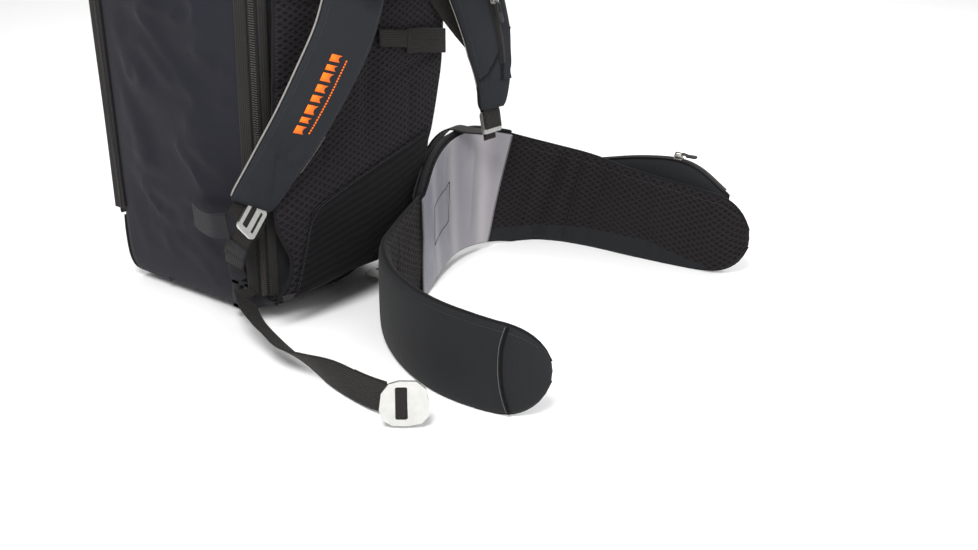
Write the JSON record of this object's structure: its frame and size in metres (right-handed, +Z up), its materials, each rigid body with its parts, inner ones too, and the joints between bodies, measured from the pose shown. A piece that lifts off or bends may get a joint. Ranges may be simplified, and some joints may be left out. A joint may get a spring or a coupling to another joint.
{
  "type": "avalanche airbag backpack",
  "caption": "Soft ski backpack with a packed airbag under its lid, a strap-mounted trigger, a lumbar slot and a detached padded hip belt standing in front.",
  "frame": {"origin": "centre of the pack's flat base, on the floor", "axes": "+Z up the standing pack, -Y towards the wearer, +X towards the wearer's left, where the trigger is"},
  "size_m": [0.5399, 0.5973, 0.6045],
  "materials": {
    "side_fabric": "matt woven nylon, navy black",
    "strap_fabric": "matt stretch fabric, charcoal",
    "spacer_mesh": "diamond spacer mesh",
    "webbing": "woven polyester webbing",
    "zip_tape": "coated zip tape",
    "belt_grey": "satin grey nylon",
    "airbag_orange": "coated orange airbag nylon",
    "trigger_plastic": "moulded orange grip",
    "aluminium": "bead-blasted aluminium",
    "steel": "dull steel",
    "black_plastic": "moulded acetal",
    "frame_board": "polyethylene board",
    "brass": "machined brass"
  },
  "bodies": {
    "pack": {"base_panel": "side_fabric", "side_panel_right": "side_fabric", "side_panel_left": "side_fabric", "compartment_divider": "side_fabric", "front_lower_panel": "side_fabric", "ice_axe_loop": "webbing", "airbag_tray": "side_fabric", "airbag_folded": "airbag_orange", "inflation_unit": "black_plastic", "pressure_gauge": "brass", "trigger_cable": "black_plastic", "framesheet": "frame_board", "frame_stay_right": "aluminium", "frame_stay_left": "aluminium", "back_pad": "spacer_mesh", "lumbar_pad": "spacer_mesh", "back_zip_right": "zip_tape", "back_zip_left": "zip_tape", "keeper_band_left": "webbing", "shoulder_strap_right": "strap_fabric", "shoulder_strap_left": "strap_fabric", "load_lifter_right": "webbing", "load_lifter_left": "webbing", "lower_webbing_right": "webbing", "lower_webbing_left": "webbing", "adjuster_tail_right": "webbing", "hip_loop_right": "webbing", "hip_loop_left": "webbing", "trigger_pocket_zip": "zip_tape", "compression_strap_right": "webbing", "compression_strap_left": "webbing", "hip_webbing_right": "webbing", "hip_webbing_left": "webbing"},
    "front_door": {"front_panel": "side_fabric"},
    "front_slider": {"front_zip_slider": "steel"},
    "cover": {"burst_cover": "side_fabric"},
    "haul": {"haul_loop": "webbing"},
    "cartridge": {"gas_cartridge": "steel"},
    "lever": {"firing_lever": "aluminium"},
    "trigger": {"trigger_handle": "trigger_plastic"},
    "back_slider": {"back_zip_slider": "steel"},
    "pocket_slider": {"pocket_zip_slider": "steel"},
    "hook_right": {"hook_buckle_right": "aluminium"},
    "hook_left": {"hook_buckle_left": "aluminium"},
    "lock_right": {"load_lifter_lock_right": "black_plastic"},
    "lock_left": {"load_lifter_lock_left": "black_plastic"},
    "sternum_right": {"sternum_webbing_right": "webbing"},
    "sternum_clip": {"sternum_clip_male": "black_plastic"},
    "sternum_left": {"sternum_webbing_left": "webbing", "sternum_clip_female": "black_plastic"},
    "hip_hook_right": {"hip_buckle_right": "aluminium"},
    "hip_hook_left": {"hip_buckle_left": "aluminium"},
    "belt_centre": {"belt_centre_pad": "strap_fabric", "belt_cover_inner": "belt_grey", "belt_stiffener": "frame_board", "belt_cover_outer": "belt_grey"},
    "wing_right": {"belt_wing_right": "strap_fabric"},
    "wing_left": {"belt_wing_left": "spacer_mesh", "belt_pocket": "strap_fabric"},
    "belt_slider": {"belt_pocket_slider": "steel"}
  },
  "joints": [
    {"name": "front_panel_open", "type": "hinge", "parent": "pack", "child": "front_door", "pos_m": [0, 0.1196, 0.0755], "axis": [-1, 0, 0], "range_deg": [0, 85]},
    {"name": "front_zip_slide", "type": "slide", "parent": "front_door", "child": "front_slider", "axis": [0, 0, 1], "range_m": [-0.33, 0]},
    {"name": "burst_cover_open", "type": "hinge", "parent": "pack", "child": "cover", "pos_m": [0, 0.106, 0.553], "axis": [-1, 0, 0], "range_deg": [0, 110]},
    {"name": "haul_loop_swing", "type": "hinge", "parent": "pack", "child": "haul", "pos_m": [0, -0.1335, 0.498], "axis": [1, 0, 0], "range_deg": [0, 80]},
    {"name": "cartridge_screw", "type": "hinge", "parent": "pack", "child": "cartridge", "pos_m": [0.078, -0.02, 0.3], "axis": [0, 0, 1], "continuous": true},
    {"name": "firing_lever_turn", "type": "hinge", "parent": "pack", "child": "lever", "pos_m": [0.06, -0.0525, 0.4395], "axis": [0, -1, 0], "range_deg": [0, 35]},
    {"name": "trigger_pull", "type": "slide", "parent": "pack", "child": "trigger", "axis": [-0.109, -0.9939, 0.018], "range_m": [0, 0.03], "stiffness_N_per_m": 150},
    {"name": "back_zip_slide", "type": "slide", "parent": "pack", "child": "back_slider", "axis": [-0.0416, -0.0599, 0.9973], "range_m": [-0.26, 0]},
    {"name": "trigger_pocket_slide", "type": "slide", "parent": "pack", "child": "pocket_slider", "axis": [-0.466, -0.091, 0.8801], "range_m": [-0.025, 0]},
    {"name": "hook_right_tilt", "type": "hinge", "parent": "pack", "child": "hook_right", "pos_m": [-0.1545, -0.1308, 0.1378], "axis": [0.7888, 0.201, 0.5809], "range_deg": [-12, 5]},
    {"name": "hook_left_tilt", "type": "hinge", "parent": "pack", "child": "hook_left", "pos_m": [0.1623, -0.1677, 0.1785], "axis": [0.9937, 0.1, -0.05], "range_deg": [-8, 12]},
    {"name": "lock_right_tilt", "type": "hinge", "parent": "pack", "child": "lock_right", "pos_m": [-0.0455, -0.1948, 0.4305], "axis": [-0.9914, 0.099, 0.086], "range_deg": [0, 25]},
    {"name": "lock_left_tilt", "type": "hinge", "parent": "pack", "child": "lock_left", "pos_m": [0.0567, -0.195, 0.435], "axis": [-0.9276, 0.093, -0.3618], "range_deg": [0, 25]},
    {"name": "sternum_height_right", "type": "slide", "parent": "pack", "child": "sternum_right", "axis": [0, 0, 1], "range_m": [-0.02, 0.012]},
    {"name": "sternum_height_left", "type": "slide", "parent": "pack", "child": "sternum_left", "axis": [0, 0, 1], "range_m": [-0.02, 0.012]},
    {"name": "sternum_clip_release", "type": "slide", "parent": "sternum_right", "child": "sternum_clip", "axis": [-1, 0, 0], "range_m": [0, 0.03]},
    {"name": "hip_hook_right_turn", "type": "hinge", "parent": "pack", "child": "hip_hook_right", "pos_m": [-0.1902, -0.364, 0.024], "axis": [0, 0, 1], "range_deg": [-20, 20]},
    {"name": "hip_hook_left_turn", "type": "hinge", "parent": "pack", "child": "hip_hook_left", "pos_m": [0.0755, -0.0957, 0.0025], "axis": [0, 0, 1], "range_deg": [-10, 10]},
    {"name": "belt_pull_off", "type": "slide", "parent": "pack", "child": "belt_centre", "axis": [0, -1, 0], "range_m": [0, 0.1]},
    {"name": "wing_right_flex", "type": "hinge", "parent": "belt_centre", "child": "wing_right", "pos_m": [0.0541, -0.1651, 0.055], "axis": [0, 0, 1], "range_deg": [-4, 18], "stiffness_Nm_per_rad": 2},
    {"name": "wing_left_flex", "type": "hinge", "parent": "belt_centre", "child": "wing_left", "pos_m": [0.2443, -0.1305, 0.065], "axis": [0, 0, 1], "range_deg": [-18, 6], "stiffness_Nm_per_rad": 2},
    {"name": "belt_pocket_slide", "type": "slide", "parent": "wing_left", "child": "belt_slider", "axis": [-0.087, 0.9947, 0.055], "range_m": [0, 0.06]}
  ],
  "couplings": [
    {"joint": "firing_lever_turn", "follows": "trigger_pull", "rad_per_m": 20},
    {"joint": "sternum_height_left", "follows": "sternum_height_right", "ratio": 1}
  ]
}
